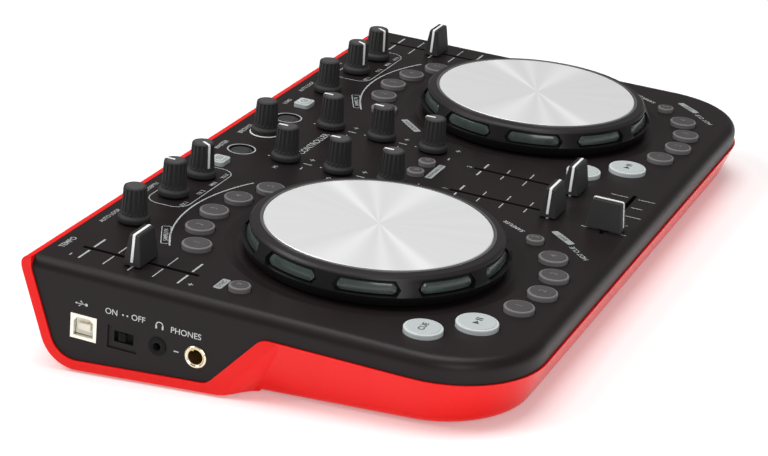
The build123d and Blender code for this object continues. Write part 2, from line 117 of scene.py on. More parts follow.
class ControllerColours(bpy.types.PropertyGroup):
    deck: colour("Deck", "Satin black of the upper case", (0.0125, 0.0085, 0.0090))
    tub: colour("Tub", "Glossy red of the lower tub", (0.84, 0.0045, 0.0022))
    knob: colour("Knob", "Matte black of the knobs and fader caps", (0.0034, 0.0025, 0.0026))
    pad: colour("Pad", "Dark grey of the rubber pads", (0.062, 0.058, 0.060))
    silver: colour("Silver buttons", "Light grey of the play and cue buttons", (0.30, 0.32, 0.32))
    ink: colour("Ink", "Pale grey of the printed lines and letters", (0.42, 0.44, 0.44))
    platter: colour("Platter", "Spun aluminium of the jog wheels", (0.86, 0.86, 0.865))


class ControllerSizes(bpy.types.PropertyGroup):
    flutes: IntProperty(name="Flutes", description="Grooves round one knob", default=16, min=6, max=30)
    flute_depth: length("Flute depth", "How deep the grooves of a knob are", 0.38)
    pointer_width: length("Pointer width", "Width of the white line on knobs and caps", 1.15)
    stroke: length("Stroke", "Width of a printed line", 0.5)
    letter: length("Letter height", "Height of the small letters on the deck", 2.7)


class ControllerStudio(bpy.types.PropertyGroup):
    lens: FloatProperty(name="Lens", description="Focal length", default=108.0, subtype="DISTANCE_CAMERA")
    distance: FloatProperty(
        name="Distance", description="From the camera to its target", default=0.9905, unit="LENGTH"
    )
    azimuth: FloatProperty(
        name="Azimuth", description="Direction of the camera", default=math.radians(-67.5), subtype="ANGLE"
    )
    elevation: FloatProperty(
        name="Elevation", description="Height of the camera", default=math.radians(20.43), subtype="ANGLE"
    )
    sky: FloatProperty(name="Sky", description="Strength of the white surroundings", default=0.20, min=0.0)


# ---- modelling by hand ----


def deselect():
    bpy.ops.object.select_all(action="DESELECT")


def activate(piece):
    deselect()
    piece.select_set(True)
    bpy.context.view_layer.objects.active = piece


def named(name):
    piece = bpy.context.object
    piece.name = name
    piece.data.name = name
    bpy.ops.object.transform_apply(location=True, rotation=True, scale=True)
    return piece


def disc(name, radius, z, sides=64, fill="NGON"):
    deselect()
    bpy.ops.mesh.primitive_circle_add(
        vertices=sides, radius=radius * MM, fill_type=fill, location=(0, 0, z * MM)
    )
    return named(name)


def box(name, size, middle):
    deselect()
    bpy.ops.mesh.primitive_cube_add(size=1, location=[v * MM for v in middle], scale=[v * MM for v in size])
    return named(name)


def sheet(name, wide, deep, x=0.0, y=0.0, z=0.0):
    deselect()
    bpy.ops.mesh.primitive_plane_add(size=1, location=(x * MM, y * MM, z * MM))
    bpy.context.object.scale = (wide * MM, deep * MM, 1)
    return named(name)


def pick(piece, test, kind="FACE"):
    """Enters edit mode with only the faces, edges or points selected whose middle passes the test."""
    activate(piece)
    bpy.ops.object.mode_set(mode="EDIT")
    bpy.ops.mesh.select_mode(type=kind)
    bpy.ops.mesh.select_all(action="DESELECT")
    bpy.ops.object.mode_set(mode="OBJECT")
    mesh = piece.data
    if kind == "FACE":
        for face in mesh.polygons:
            face.select = test(face.center / MM, face.normal)
    elif kind == "EDGE":
        for edge in mesh.edges:
            ends = [mesh.vertices[i].co / MM for i in edge.vertices]
            edge.select = test((ends[0] + ends[1]) / 2, ends[1] - ends[0])
    else:
        for point in mesh.vertices:
            point.select = test(point.co / MM, point.normal)
    bpy.ops.object.mode_set(mode="EDIT")


def leave():
    bpy.ops.object.mode_set(mode="OBJECT")


def step(move, grow=1.0):
    """Extrudes the selected faces by a move in millimetres, then scales them in the deck's plane."""
    bpy.ops.mesh.extrude_region_move(TRANSFORM_OT_translate={"value": [v * MM for v in move]})
    if grow != 1.0:
        bpy.ops.transform.resize(value=(grow, grow, 1), center_override=(0, 0, 0))


def cut_out(piece, test):
    """Deletes the faces that pass the test."""
    pick(piece, test)
    bpy.ops.mesh.delete(type="FACE")
    leave()


def turned(name, profile, sides=64):
    """A solid of revolution, extruded upwards ring by ring from (radius, z) points."""
    radius, z = profile[0]
    piece = disc(name, radius, z, sides)
    pick(piece, lambda middle, normal: True)
    for next_radius, next_z in profile[1:]:
        step((0, 0, next_z - z), next_radius / radius)
        radius, z = next_radius, next_z
    leave()
    return outward(piece)


def outward(piece):
    activate(piece)
    bpy.ops.object.mode_set(mode="EDIT")
    bpy.ops.mesh.select_all(action="SELECT")
    bpy.ops.mesh.remove_doubles(threshold=0.001 * MM)
    bpy.ops.mesh.normals_make_consistent(inside=False)
    leave()
    return piece


def rounded(piece, width, segments=2, angle=35.0):
    """Bevels every sharp edge and smooths what is left."""
    activate(piece)
    edges = piece.modifiers.new("edges", "BEVEL")
    edges.width = width * MM
    edges.segments = segments
    edges.limit_method = "ANGLE"
    edges.angle_limit = math.radians(angle)
    bpy.ops.object.modifier_apply(modifier="edges")
    return smooth(piece)


def smooth(piece, angle=32.0):
    activate(piece)
    bpy.ops.object.shade_smooth_by_angle(angle=math.radians(angle))
    return piece


def thick(piece, depth):
    """Gives a sheet its thickness, below its own face."""
    activate(piece)
    wall = piece.modifiers.new("wall", "SOLIDIFY")
    wall.thickness = depth * MM
    wall.offset = -1
    bpy.ops.object.modifier_apply(modifier="wall")
    return piece


def joined(name, pieces):
    deselect()
    for piece in pieces:
        piece.select_set(True)
    bpy.context.view_layer.objects.active = pieces[0]
    if len(pieces) > 1:
        bpy.ops.object.join()
    return named(name)


def copied(piece, name):
    """A second piece of the same shape with its own mesh."""
    twin = piece.copy()
    twin.data = piece.data.copy()
    twin.name = name
    twin.data.name = name
    bpy.context.scene.collection.objects.link(twin)
    return twin


def drop(*pieces):
    for piece in pieces:
        bpy.data.objects.remove(piece)


def spot(x=0.0, y=0.0, z=0.0, turn=0.0):
    """Where a piece drawn about its own middle stands on the deck."""
    return DECK @ Matrix.Translation((x * MM, y * MM, z * MM)) @ Matrix.Rotation(math.radians(turn), 4, "Z")


def wall_spot(y, z, out=0.0):
    """A place on the left wall, read from the left, with its Z out of the wall."""
    turn = Matrix(((0, 0, -1), (-1, 0, 0), (0, 1, 0))).to_4x4()
    return DECK @ Matrix.Translation(((WALL_X - out) * MM, y * MM, z * MM)) @ turn


def back_spot(x, z, out=0.0):
    """A place on the leaning back wall of the tub, read from behind."""
    y = BACK_Y + math.tan(math.radians(BACK_LEAN)) * (z + 5.0)
    tilt = Matrix.Rotation(math.radians(90 + BACK_LEAN), 4, "X")
    flip = Matrix.Rotation(math.pi, 4, "Z")
    return DECK @ Matrix.Translation((x * MM, (y + out) * MM, z * MM)) @ flip @ tilt


def put(piece, place, body, finish, smoothly=False):
    """Bakes a piece's place into its mesh and lets it ride on its body."""
    piece.data.transform(place)
    piece.data.materials.clear()
    piece.data.materials.append(finish)
    if smoothly:
        smooth(piece)
    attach(piece, body)
    return piece


def spot_of(node):
    """The middle of a control on the deck and the height of its top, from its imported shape."""
    back_to_deck = DECK.inverted()
    points = [back_to_deck @ point.co for point in frame["nodes"][node].data.vertices]
    ranges = [[point[axis] / MM for point in points] for axis in range(3)]
    return [(min(values) + max(values)) / 2 for values in ranges[:2]] + [max(ranges[2])]


def crown_radius(node):
    """Radius of a round button above its hidden flange."""
    points = [point.co for point in frame["nodes"][node].data.vertices]
    wide = (max(point.x for point in points) - min(point.x for point in points)) / MM
    return wide / 2 - FLANGE


def controls(*starts):
    return [node for node in sorted(frame["nodes"]) if node.startswith(starts)]


# ---- shader maths ----


class Value:
    """A number that changes over a surface. Arithmetic on it adds Math nodes."""

    def __init__(self, finish, socket):
        self.finish = finish
        self.socket = socket

    def combine(self, operation, first, second, clamp=False):
        settings = {"operation": operation, "use_clamp": clamp}
        return self.finish.node("ShaderNodeMath", settings, {0: first, 1: second})

    def __add__(self, other):
        return self.combine("ADD", self, other)

    def __radd__(self, other):
        return self.combine("ADD", other, self)

    def __sub__(self, other):
        return self.combine("SUBTRACT", self, other)

    def __rsub__(self, other):
        return self.combine("SUBTRACT", other, self)

    def __mul__(self, other):
        return self.combine("MULTIPLY", self, other)

    def __rmul__(self, other):
        return self.combine("MULTIPLY", other, self)

    def __pow__(self, other):
        return self.combine("POWER", self, other)

    def above(self, limit, soft):
        """0 below the limit and 1 above it, over a soft edge."""
        return self.combine("MULTIPLY", self - (limit - soft / 2), 1.0 / soft, clamp=True)

    def sine(self):
        return self.combine("SINE", self, 0.0)

    def cosine(self):
        return self.combine("COSINE", self, 0.0)


def rgba(shade):
    return shade if isinstance(shade, Value) else (*shade, 1.0)


class Finish:
    """A material on one Principled surface, whose patterns are measured in millimetres."""

    def __init__(self, name, **constants):
        self.material = bpy.data.materials.new(name)
        self.material.use_nodes = True
        self.tree = self.material.node_tree
        self.tree.nodes.clear()
        self.surface = self.tree.nodes.new("ShaderNodeBsdfPrincipled")
        output = self.tree.nodes.new("ShaderNodeOutputMaterial")
        self.tree.links.new(self.surface.outputs[0], output.inputs[0])
        for socket, value in constants.items():
            self.surface.inputs[socket.replace("_", " ")].default_value = value
        self.points = self.node("ShaderNodeTexCoord", output="Object")

    def feed(self, target, value):
        if isinstance(value, Value):
            self.tree.links.new(value.socket, target)
        else:
            target.default_value = value

    def node(self, kind, settings=None, inputs=None, output=0):
        made = self.tree.nodes.new(kind)
        for key, value in (settings or {}).items():
            setattr(made, key, value)
        for key, value in (inputs or {}).items():
            self.feed(made.inputs[key], value)
        return Value(self, made.outputs[output])

    def along(self, axis, origin):
        """Distance along one direction from a point, in millimetres."""
        shifted = self.node("ShaderNodeVectorMath", {"operation": "SUBTRACT"}, {0: self.points, 1: origin})
        inputs = {0: shifted, 1: [value / MM for value in axis]}
        return self.node("ShaderNodeVectorMath", {"operation": "DOT_PRODUCT"}, inputs, "Value")

    def noise(self, size, detail=2.0, rough=0.5):
        """Soft noise between 0 and 1 whose lumps are about this many millimetres across."""
        inputs = {"Vector": self.points, "Scale": 1 / (size * MM), "Detail": detail, "Roughness": rough}
        return self.node("ShaderNodeTexNoise", None, inputs)

    def mix(self, mask, first, second):
        """A colour between two others. The Mix node's colours are its sockets 6 and 7 and its output 2."""
        inputs = {0: mask, 6: rgba(first), 7: rgba(second)}
        return self.node("ShaderNodeMix", {"data_type": "RGBA"}, inputs, 2)

    def bump(self, height, distance):
        """Relief: a height from 0 to 1 stands for this many millimetres."""
        inputs = {"Height": height, "Distance": distance * MM, "Strength": 1.0}
        self.set("Normal", self.node("ShaderNodeBump", None, inputs))

    def set(self, socket, value):
        self.feed(self.surface.inputs[socket], value)


def shade(base, factor):
    return tuple(min(1.0, value * factor) for value in base)


def moulded(name, base, rough, grain, relief, **constants):
    """Moulded plastic: fine spark-eroded grain, faint cloudiness and a worn sheen in places."""
    finish = Finish(name, **constants)
    cloud = finish.noise(28.0, 3.0)
    fine = finish.noise(grain, 3.0, 0.6)
    finish.set("Base Color", finish.mix(cloud * 0.7 + fine * 0.3, shade(base, 0.88), shade(base, 1.12)))
    finish.set("Roughness", rough + (fine - 0.5) * 0.16 + (cloud - 0.5) * 0.06)
    finish.bump(fine, relief)
    return finish.material


def deck_finish(colours):
    return moulded("deck_black", colours.deck, 0.40, 0.42, 0.024, Specular_IOR_Level=0.20)


def tub_finish(colours):
    """Injection-moulded gloss: an almost flat coat over a colour that deepens a little in places."""
    finish = Finish("tub_red", Specular_IOR_Level=0.20, Coat_Weight=0.10, Coat_Roughness=0.03)
    peel = finish.noise(3.2, 2.0)
    cloud = finish.noise(45.0, 2.0)
    finish.set("Base Color", finish.mix(cloud, shade(colours.tub, 0.93), shade(colours.tub, 1.05)))
    finish.set("Roughness", 0.24 + (cloud - 0.5) * 0.06)
    finish.bump(peel, 0.004)
    return finish.material


def rubber_finish(name, base):
    return moulded(name, base, 0.66, 0.30, 0.035, Specular_IOR_Level=0.3)


def board_finish():
    """Lacquered board: copper runs under green, with dark parts on top."""
    finish = Finish("board_green", Coat_Weight=0.3)
    x = finish.along(RIGHT, DECK.translation)
    y = finish.along(BACK, DECK.translation)
    z = finish.along(UP, DECK.translation)
    runs = (x * 1.3).sine() * (y * 1.1).sine()
    board = finish.mix(runs.above(0.35, 0.2), (0.010, 0.075, 0.030), (0.035, 0.190, 0.080))
    parts = z.above(-12.7, 0.1)
    finish.set("Base Color", finish.mix(parts, board, (0.03, 0.03, 0.032)))
    finish.set("Roughness", 0.35 + finish.noise(0.8) * 0.2)
    return finish.material


def socket_finish():
    """One metal part with three looks: nickel at the USB socket and gold or black at the jacks."""
    finish = Finish("socket_metal")
    y = finish.along(BACK, DECK.translation)
    brushed = finish.noise(0.5, 3.0)

    def between(low, high):
        return y.above(low, 0.2) * (1 - y.above(high, 0.2))

    dark = between(MINI_Y - 6, MINI_Y + 6) + between(MINI_Y + 8, SWITCH_Y + 8)
    large = between(JACK_Y - 7, JACK_Y + 7)
    nickel = finish.mix(brushed, (0.80, 0.78, 0.70), (0.92, 0.90, 0.82))
    plated = finish.mix(large, nickel, (0.78, 0.62, 0.36))
    finish.set("Base Color", finish.mix(dark, plated, (0.012, 0.012, 0.013)))
    finish.set("Metallic", 1 - dark)
    finish.set("Roughness", 0.24 + brushed * 0.14 + dark * 0.15)
    return finish.material


def jog_finish():
    """Black skirt with a slightly greyer bevel above the windows."""
    finish = Finish("jog_black", Specular_IOR_Level=0.24)
    z = finish.along(UP, DECK.translation)
    grain = finish.noise(0.5, 3.0, 0.6)
    top = z.above(10.9, 0.25)
    skirt = finish.mix(grain, (0.006, 0.006, 0.006), (0.010, 0.009, 0.010))
    bevel = finish.mix(grain, (0.016, 0.014, 0.014), (0.024, 0.021, 0.021))
    finish.set("Base Color", finish.mix(top, skirt, bevel))
    finish.set("Roughness", 0.30 + top * 0.05 + (grain - 0.5) * 0.10)
    finish.bump(grain, 0.012)
    return finish.material


def platter_finish(name, x, base):
    """Spun aluminium: fine rings of brighter and duller metal, with painted rays and painted highlight
    wedges round the middle in place of the lamps' reflections in spun metal.
    """
    finish = Finish(name)
    middle = spot(x).translation
    along_x = finish.along(RIGHT, middle)
    along_y = finish.along(BACK, middle)
    radius = (along_x * along_x + along_y * along_y) ** 0.5
    angle = finish.node("ShaderNodeMath", {"operation": "ARCTAN2"}, {0: along_y, 1: along_x})
    line = {"noise_dimensions": "1D"}
    rings = finish.node("ShaderNodeTexNoise", line, {"W": radius * 5.5, "Scale": 1.0, "Detail": 3.0})
    # Rays of brighter and duller colour by angle round the middle are painted reflections of the spun
    # metal.
    painted_rays = finish.node("ShaderNodeTexNoise", line, {"W": angle * 5.0 + 20.0, "Scale": 1.0, "Detail": 4.0})
    # The tone is the real fine rings plus the painted rays; the painted highlight wedges are added below.
    rings_and_painted_highlights = painted_rays * 0.16 + rings * 0.10 + 0.30
    # Three narrow bright wedges at fixed angles round the middle are painted highlights, where the lamps
    # would glint on spun metal.
    for direction, narrowness, strength in ((45.6, 110.0, 0.60), (25.0, 190.0, 0.30), (-2.0, 30.0, 0.40)):
        highlight_facing = (angle - math.radians(direction)).cosine()
        rings_and_painted_highlights = rings_and_painted_highlights + (highlight_facing * highlight_facing) ** narrowness * strength
    finish.set("Base Color", finish.mix(rings_and_painted_highlights, shade(base, 0.74), shade(base, 1.16)))
    finish.set("Metallic", 0.35)
    finish.set("Roughness", 0.46 - rings_and_painted_highlights * 0.10)
    finish.bump(rings, 0.012)
    return finish.material


def light_finish():
    """Smoky green-grey plastic under a clear coat."""
    finish = Finish("jog_light_bar", Coat_Weight=0.35, Coat_Roughness=0.08, IOR=1.49)
    cloud = finish.noise(4.0, 3.0)
    finish.set("Base Color", finish.mix(cloud, (0.034, 0.048, 0.043), (0.062, 0.082, 0.074)))
    finish.set("Roughness", 0.18 + cloud * 0.12)
    return finish.material


def ink_finish(name, base):
    finish = Finish(name)
    edge = finish.noise(0.25, 3.0)
    finish.set("Base Color", finish.mix(edge, shade(base, 0.90), shade(base, 1.03)))
    finish.set("Roughness", 0.48 + edge * 0.12)
    return finish.material


def metal_finish(name, base, rough):
    finish = Finish(name, Metallic=1.0)
    brushed = finish.noise(0.4, 3.0)
    finish.set("Base Color", finish.mix(brushed, shade(base, 0.85), shade(base, 1.1)))
    finish.set("Roughness", rough + brushed * 0.14)
    finish.bump(brushed, 0.01)
    return finish.material


def floor_finish():
    glow = {"Emission_Color": (1, 1, 1, 1), "Emission_Strength": 0.20}
    finish = Finish("studio_floor", Specular_IOR_Level=0.35, **glow)
    cloud = finish.noise(260.0, 2.0)
    finish.set("Base Color", finish.mix(cloud, (0.90, 0.90, 0.90), (0.93, 0.93, 0.93)))
    finish.set("Roughness", 0.22 + cloud * 0.06)
    return finish.material


def finish_node(node, finish):
    """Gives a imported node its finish, without touching its mesh."""
    for slot in frame["nodes"][node].material_slots:
        slot.material = finish


def stock(name, maker, *values):
    """A finish that several pieces share."""
    return bpy.data.materials.get(name) or maker(name, *values)


def black_plastic(name, base):
    return moulded(name, base, 0.40, 0.32, 0.016, Specular_IOR_Level=0.04)


# ---- operators ----


class CONTROLLER_OT_case(bpy.types.Operator):
    """Finish the upper case, the red tub, the feet, the board and the sockets"""

    bl_idname = "controller.case"
    bl_label = "Case"

    def execute(self, context):
        colours = context.scene.controller_colours
        finish_node("top_case", deck_finish(colours))
        finish_node("bottom_tub", tub_finish(colours))
        finish_node("rubber_feet", rubber_finish("foot_rubber", (0.016, 0.016, 0.016)))
        finish_node("circuit_board", board_finish())
        finish_node("socket_set", socket_finish())
        finish_node("power_switch_knob", stock("switch_black", black_plastic, SWITCH_BLACK))
        return {"FINISHED"}


class CONTROLLER_OT_jog_wheels(bpy.types.Operator):
    """Finish the jog wheels and their platters, and set a light bar in each window"""

    bl_idname = "controller.jog_wheels"
    bl_label = "Jog Wheels"

    def execute(self, context):
        colours = context.scene.controller_colours
        wheel, lamp = jog_finish(), light_finish()
        bars = self.light_bars()
        rim = ((48.42, 12.4), (JOG_RIM, 12.4), (JOG_RIM, 12.86), (48.5, 12.98))
        for word, side in SIDES.items():
            x = side * JOG_X
            body = f"jog_wheel_{word}"
            finish_node(body, wheel)
            finish_node(f"jog_platter_{word}", platter_finish(f"platter_{word}", x, colours.platter))
            put(copied(bars, f"jog_lights_{word}"), spot(x), body, lamp, smoothly=True)
            ring = turned(f"jog_trim_{word}", rim, 128)
            cut_out(ring, lambda middle, normal: Vector((middle.x, middle.y)).length < 1)
            trim = stock("jog_trim", metal_finish, (0.42, 0.42, 0.42), 0.25)
            put(thick(ring, 0.1), spot(x), body, trim)
        drop(bars)
        return {"FINISHED"}

    def light_bars(self):
        """A curved lozenge for each window."""
        half_turn = LIGHT_SPAN / 2
        start = Matrix.Rotation(math.radians(-90 + half_turn), 4, "Z")
        out = Matrix.Translation((LIGHT_RADIUS * MM, 0, LIGHT_Z * MM))
        bar = sheet("jog_lights", 2.6, 4.4)
        bar.data.transform(start @ out @ Matrix.Rotation(math.pi / 2, 4, "X"))
        pick(bar, lambda middle, normal: True)
        turn = math.radians(LIGHT_SPAN)
        bpy.ops.mesh.spin(steps=12, angle=turn, center=(0, 0, 0), axis=(0, 0, 1), dupli=False)
        leave()
        outward(bar)
        pick(bar, lambda middle, normal: normal.z > 0.9)
        bpy.ops.transform.resize(value=(0.985, 0.985, 1), center_override=(0, 0, 0))
        leave()
        for edge_turn in (-half_turn, half_turn):
            away = Vector((math.sin(math.radians(edge_turn)), -math.cos(math.radians(edge_turn)), 0))
            end = Vector((-away.y, away.x, 0)) * (1 if edge_turn > 0 else -1)
            pick(bar, lambda middle, normal: normal.dot(end) > 0.95)
            step([value * 1.5 for value in end])
            middle = away * 53.4 * MM
            bpy.ops.transform.resize(value=(1, 1, 0.25), center_override=(middle.x, middle.y, LIGHT_Z * MM))
            leave()
        outward(bar)
        rounded(bar, 0.3, 2, 30)
        bars = [bar]
        for at in range(1, WINDOWS):
            twin = copied(bar, f"jog_light_{at}")
            twin.data.transform(Matrix.Rotation(math.tau * at / WINDOWS, 4, "Z"))
            bars.append(twin)
        return joined("jog_lights", bars)


class CONTROLLER_OT_knobs(bpy.types.Operator):
    """Model the fluted knobs, their caps and their white pointers, and the two recessed level knobs"""

    bl_idname = "controller.knobs"
    bl_label = "Knobs"

    def execute(self, context):
        sizes = context.scene.controller_sizes
        colours = context.scene.controller_colours
        black = stock("knob_black", black_plastic, tuple(colours.knob))
        white = stock("pointer_white", ink_finish, POINTER_WHITE)
        grey = stock("knob_cap_grey", black_plastic, (0.075, 0.072, 0.073))
        body = self.body(sizes.flutes, sizes.flute_depth)
        pointer = self.pointer(sizes.pointer_width)
        cap = rounded(turned("knob_top", ((3.95, 16.1), (3.95, 16.42), (3.7, 16.5)), 48), 0.08)
        ring = self.skirt_ring()
        for node in controls("browse", "eq_", "loop_", "effect_one", "effect_two"):
            x, y, _ = spot_of(node)
            limits = JOINTS[node].get("range_deg")
            turn = sum(limits) / 2 if limits else 0.0
            shell = put(copied(body, f"{node}_grip"), spot(x, y), node, black)
            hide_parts(node)
            put(copied(cap, f"{node}_cap"), spot(x, y), node, grey)
            if limits:
                put(copied(pointer, f"{node}_line"), spot(x, y, 0, turn), node, white)
            if node == "browse_encoder":
                put(copied(ring, "browse_ring"), spot(x, y), node, white)
        dome = self.level_cap()
        for node in controls("level_"):
            x, y, _ = spot_of(node)
            finish_node(node, black)
            put(copied(dome, f"{node}_cap"), spot(x, y), node, black)
        drop(body, pointer, cap, ring, dome)
        return {"FINISHED"}

    def body(self, flutes, depth):
        """A tapered grip with flutes between its ribs, a flared skirt and a row of bumps."""
        profile = ((3.2, 1.0), (6.7, 0.8), (6.9, 1.0), (6.9, 2.7), (6.55, 3.3), (5.9, 3.7), (5.6, 4.3),
                   (5.62, 5.3), (5.0, 15.7), (4.75, 16.25), (4.3, 16.45), (4.0, 16.4), (3.98, 16.15))
        body = turned("knob", profile, flutes * 4)
        pitch = math.tau / flutes

        def in_flute(middle, normal):
            share = (math.atan2(middle.y, middle.x) / pitch) % 1
            return 6.0 < middle.z < 15.0 and 0.25 < share < 0.75

        pick(body, in_flute)
        bpy.ops.mesh.inset(thickness=0.10 * MM, depth=-depth, use_individual=False)
        leave()
        rounded(body, 0.10, 1, 28)
        bumps = []
        for at in range(flutes):
            turn = pitch * (at + 0.5)
            deselect()
            place = (5.62 * math.cos(turn) * MM, 5.62 * math.sin(turn) * MM, 4.75 * MM)
            bpy.ops.mesh.primitive_ico_sphere_add(subdivisions=2, radius=0.36 * MM, location=place)
            bumps.append(named("bump"))
        return smooth(joined("knob", [body] + bumps))

    def pointer(self, wide):
        """A white line over the top of a knob and down its far side."""
        line = sheet("pointer", wide / MM, 4.2, 0, 2.3, 16.6)
        path = ((0, 0.35, -0.20), (0, 0.28, -0.50), (0, 0.60, -10.4))
        far = 4.4
        for move in path:
            pick(line, lambda middle, edge: middle.y > far - 0.01 and abs(edge.x) > 0.5, "EDGE")
            bpy.ops.mesh.extrude_edges_move(TRANSFORM_OT_translate={"value": [v * MM for v in move]})
            leave()
            far += move[1]
        outward(line)
        pick(line, lambda middle, normal: middle.z > 16.5)
        upside_down = any(face.select and face.normal.z < 0 for face in line.data.polygons)
        if upside_down:
            bpy.ops.mesh.select_all(action="SELECT")
            bpy.ops.mesh.flip_normals()
        leave()
        return rounded(outward(thick(line, 0.35)), 0.06, 1)

    def skirt_ring(self):
        profile = ((7.45, 0.3), (7.45, 0.62), (7.35, 0.72), (6.95, 0.72), (6.95, 0.3))
        return rounded(turned("browse_ring", profile, 72), 0.05, 1)

    def level_cap(self):
        """A low dome with a sunk middle."""
        cap = turned("level_cap", ((4.3, -0.9), (4.3, -0.7), (4.0, -0.4), (3.0, -0.15), (1.5, -0.05)), 48)
        pick(cap, lambda middle, normal: normal.z > 0.99)
        bpy.ops.mesh.inset(thickness=0.3 * MM, depth=-0.12 * MM)
        leave()
        return rounded(cap, 0.08, 1)


class CONTROLLER_OT_fader_caps(bpy.types.Operator):
    """Finish the fader caps and add their white lines and finger ridges"""

    bl_idname = "controller.fader_caps"
    bl_label = "Fader Caps"

    def execute(self, context):
        sizes = context.scene.controller_sizes
        colours = context.scene.controller_colours
        black = stock("knob_black", black_plastic, tuple(colours.knob))
        white = stock("pointer_white", ink_finish, POINTER_WHITE)
        line = self.line(sizes.pointer_width)
        ridges = self.ridges()
        for node in controls("crossfader", "tempo_cap", "channel_cap"):
            x, y, _ = spot_of(node)
            turn = 90 if node.startswith("crossfader") else 0
            finish_node(node, black)
            put(copied(line, f"{node}_line"), spot(x, y, 0, turn), node, white)
            put(copied(ridges, f"{node}_ridges"), spot(x, y, 0, turn), node, black)
        drop(line, ridges)
        return {"FINISHED"}

    def line(self, wide):
        """A line across the crown that runs down both ends."""
        top = box("cap_line", (12.6, wide / MM, 0.5), (0, 0, 13.72))
        for side in (-1, 1):
            pick(top, lambda middle, normal: normal.x * side > 0.9)
            step((side * 0.55, 0, -0.28))
            leave()
            pick(top, lambda middle, normal: normal.x * side > 0.6 and abs(middle.x) > 6.7)
            step((side * 1.20, 0, -11.3))
            leave()
        return rounded(outward(top), 0.06, 1)

    def ridges(self):
        """Two low rails beside the line, where the fingertip rests."""
        rails = [box("rail", (12.2, 0.5, 0.5), (0, side * 1.75, 13.68)) for side in (-1, 1)]
        return rounded(joined("cap_ridges", rails), 0.12, 2)


class CONTROLLER_OT_buttons(bpy.types.Operator):
    """Finish the pads and buttons, with their inlaid faces and printed signs"""

    bl_idname = "controller.buttons"
    bl_label = "Buttons"

    def execute(self, context):
        colours = context.scene.controller_colours
        pad = tuple(colours.pad)
        rim = stock("pad_rim", rubber_finish, shade(pad, 2.6))
        face = stock("pad_face", rubber_finish, pad)
        silver = stock("button_silver", black_plastic, tuple(colours.silver))
        pale = stock("button_face", black_plastic, shade(tuple(colours.silver), 1.5))
        ink = stock("pad_ink", ink_finish, (0.17, 0.165, 0.165))
        dark = stock("button_ink", ink_finish, (0.05, 0.05, 0.055))
        for node in controls("effect_pad", "hot_cue", "sampler", "sync", "phones_cue"):
            finish_node(node, rim)
            self.face(node, face, "button_grey")
            self.sign(node, self.pad_word(node), ink, "button_grey")
        for node in controls("play_button", "cue_button"):
            finish_node(node, silver)
            self.face(node, pale, "button_silver")
        for node in controls("cue_button"):
            self.sign(node, "CUE", dark, "button_silver", 3.0)
        for node in controls("play_button"):
            self.play_sign(node, dark)
        for node in controls("load_button"):
            x, y, top = spot_of(node)
            finish_node(node, pale)
            plate = rounded(plate_of(f"{node}_face", 7.4, 5.6, 1.6, 0.3), 0.12)
            put(plate, spot(x, y, top), node, pale)
            sign = joined(f"{node}_sign", [outline("line", 4.0, 2.6, 0.6, 0.35), sheet("dot", 1.5, 0.4)])
            put(sign, spot(x, y, top + 0.33), node, dark)
        return {"FINISHED"}

    def face(self, node, finish, slot):
        """A slightly dished face inlaid in the rim of a button."""
        x, y, top = spot_of(node)
        radius = crown_radius(node) - 1.0
        edge = ((radius, -0.3), (radius, 0.12), (radius - 0.25, 0.26))
        profile = (*edge, (radius - 0.9, 0.24), (radius * 0.4, 0.16))
        inlay = smooth(turned(f"{node}_face", profile, 56), 60)
        put(inlay, spot(x, y, top), node, finish)

    def pad_word(self, node):
        if node.startswith(("effect_pad", "hot_cue")):
            return node.split("_")[2]
        return {"sampler_button": "S", "sync_button": "=", "phones_cue": "o"}[node.rsplit("_", 1)[0]]

    def sign(self, node, word, finish, slot, size=3.6):
        x, y, top = spot_of(node)
        put(lettering(f"{node}_sign", word, size), spot(x, y, top + FACE_LIFT), node, finish)

    def play_sign(self, node, finish):
        x, y, top = spot_of(node)
        triangle = disc("triangle", 1.7, 0, 3)
        moved(triangle, -1.6, 0, -90)
        bars = [sheet("bar", 0.7, 2.8, at) for at in (1.5, 3.0)]
        sign = joined(f"{node}_sign", [triangle] + bars)
        put(sign, spot(x, y, top + FACE_LIFT), node, finish)


def lettering(name, words, size):
    """Flat printed letters, centred on their own middle."""
    deselect()
    bpy.ops.object.text_add()
    text = bpy.context.object
    text.data.body = words
    text.data.size = size * MM * 1.25
    text.data.align_x = "CENTER"
    text.data.align_y = "CENTER"
    text.data.offset = 0.02 * MM
    bpy.ops.object.convert(target="MESH")
    return named(name)


def plate_of(name, wide, deep, corner, high):
    """A flat plate with rounded corners, from z 0 up."""
    plate = sheet(name, wide, deep)
    pick(plate, lambda point, normal: True, "VERT")
    bpy.ops.mesh.bevel(offset=corner * MM, segments=5, affect="VERTICES")
    bpy.ops.mesh.select_all(action="SELECT")
    if high:
        step((0, 0, high))
    leave()
    return outward(plate) if high else plate


def outline(name, wide, deep, corner, stroke):
    """A printed line round a rounded box."""
    plate = plate_of(name, wide, deep, corner, 0)
    pick(plate, lambda middle, normal: True)
    bpy.ops.mesh.inset(thickness=stroke * MM, depth=0)
    bpy.ops.mesh.delete(type="FACE")
    leave()
    return plate


def ring_print(name, radius, stroke, start=0.0, end=360.0):
    """A printed circle, or an arc of one between two angles."""
    ring = disc(name, radius - stroke / 2, 0, 180, "NOTHING")
    pick(ring, lambda middle, edge: True, "EDGE")
    bpy.ops.mesh.extrude_edges_move()
    grow = (radius + stroke / 2) / (radius - stroke / 2)
    bpy.ops.transform.resize(value=(grow, grow, 1), center_override=(0, 0, 0))
    leave()

    def outside(middle, normal):
        return not start <= math.degrees(math.atan2(middle.y, middle.x)) % 360 <= end

    if end - start < 360:
        cut_out(ring, outside)
    pick(ring, lambda middle, normal: normal.z < 0)
    bpy.ops.mesh.flip_normals()
    leave()
    return ring


def moved(piece, x, y, turn=0.0):
    """Turns a flat piece about its own middle, then shifts it."""
    shift = Matrix.Translation((x * MM, y * MM, 0))
    piece.data.transform(shift @ Matrix.Rotation(math.radians(turn), 4, "Z"))
    return piece


def printed(words, size, x, y, turn=0.0):
    return moved(lettering("word", words, size), x, y, turn)


